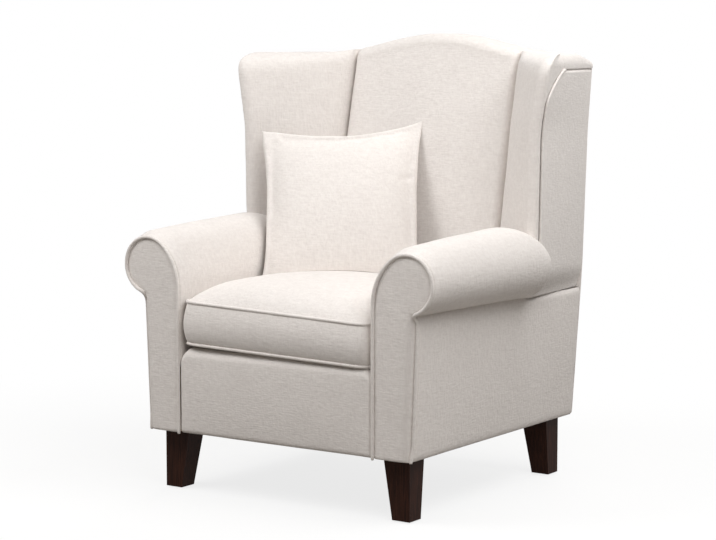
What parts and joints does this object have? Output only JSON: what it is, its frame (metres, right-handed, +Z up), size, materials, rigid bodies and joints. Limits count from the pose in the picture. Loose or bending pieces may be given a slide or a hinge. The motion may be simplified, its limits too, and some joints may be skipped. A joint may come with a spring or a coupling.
{
  "type": "wingback chair",
  "caption": "Upholstered wingback armchair with scroll arms, camel-back crest, loose boxed seat cushion, scatter cushion and tapered square wooden legs.",
  "frame": {"origin": "on the floor under the middle of the chair's bounding box", "axes": "+Z up, -Y to the front, the way the sitter faces, +X to the right as seen from the front"},
  "size_m": [0.9128, 0.7995, 1.086],
  "materials": {
    "upholstery": "soft woven chenille",
    "deck_cloth": "plain lining cloth",
    "foam": "open-cell foam",
    "webbing": "elastic webbing",
    "dust_cloth": "spunbond cloth",
    "zip_tape": "woven tape",
    "frame_timber": "planed beech",
    "plywood": "sanded plywood",
    "leg_wood": "dark satin stain",
    "spring_steel": "oiled wire",
    "zinc_steel": "zinc plated",
    "zip_metal": "die cast",
    "glide_plastic": "moulded"
  },
  "bodies": {
    "chair_frame": {"arm_facing_left": "upholstery", "arm_facing_right": "upholstery", "arm_pad_left": "upholstery", "arm_pad_right": "upholstery", "arm_piping_left": "upholstery", "arm_piping_right": "upholstery", "arm_rail_left": "frame_timber", "arm_rail_right": "frame_timber", "arm_tack_rail_left": "frame_timber", "arm_tack_rail_right": "frame_timber", "back_lower_rail": "frame_timber", "back_pad": "upholstery", "back_post_left": "frame_timber", "back_post_right": "frame_timber", "back_webbing": "webbing", "corner_blocks": "frame_timber", "crest_rail": "frame_timber", "dust_cover": "dust_cloth", "frame_screws": "zinc_steel", "front_border": "upholstery", "front_rail": "frame_timber", "leg_bolts": "zinc_steel", "leg_front_left": "leg_wood", "leg_front_right": "leg_wood", "leg_glides": "glide_plastic", "leg_nuts": "zinc_steel", "leg_rear_left": "leg_wood", "leg_rear_right": "leg_wood", "outer_back_panel": "upholstery", "rear_rail": "frame_timber", "scroll_board_left": "plywood", "scroll_board_right": "plywood", "seat_deck": "deck_cloth", "seat_springs": "spring_steel", "side_panel_left": "upholstery", "side_panel_right": "upholstery", "side_rail_left": "frame_timber", "side_rail_right": "frame_timber", "spring_clips": "spring_steel", "wing_board_left": "plywood", "wing_board_right": "plywood", "wing_outer_panel_left": "upholstery", "wing_outer_panel_right": "upholstery", "wing_pad_left": "upholstery", "wing_pad_right": "upholstery", "wing_piping_left": "upholstery", "wing_piping_right": "upholstery"},
    "seat_cushion": {"seat_cushion_cover": "upholstery", "seat_cushion_foam": "foam", "seat_piping": "upholstery", "seat_zip": "zip_tape"},
    "zip_slider": {"seat_zip_slider": "zip_metal"},
    "scatter_cushion": {"pillow_cover": "upholstery", "pillow_filling": "foam"}
  },
  "joints": [
    {"name": "seat_cushion_slide", "type": "slide", "parent": "chair_frame", "child": "seat_cushion", "axis": [0, -1, 0], "range_m": [0, 0.56]},
    {"name": "scatter_cushion_lift", "type": "slide", "parent": "seat_cushion", "child": "scatter_cushion", "axis": [0, 0, 1], "range_m": [0, 0.65]},
    {"name": "zip_slide", "type": "slide", "parent": "seat_cushion", "child": "zip_slider", "axis": [-1, 0, 0], "range_m": [0, 0.41]}
  ]
}
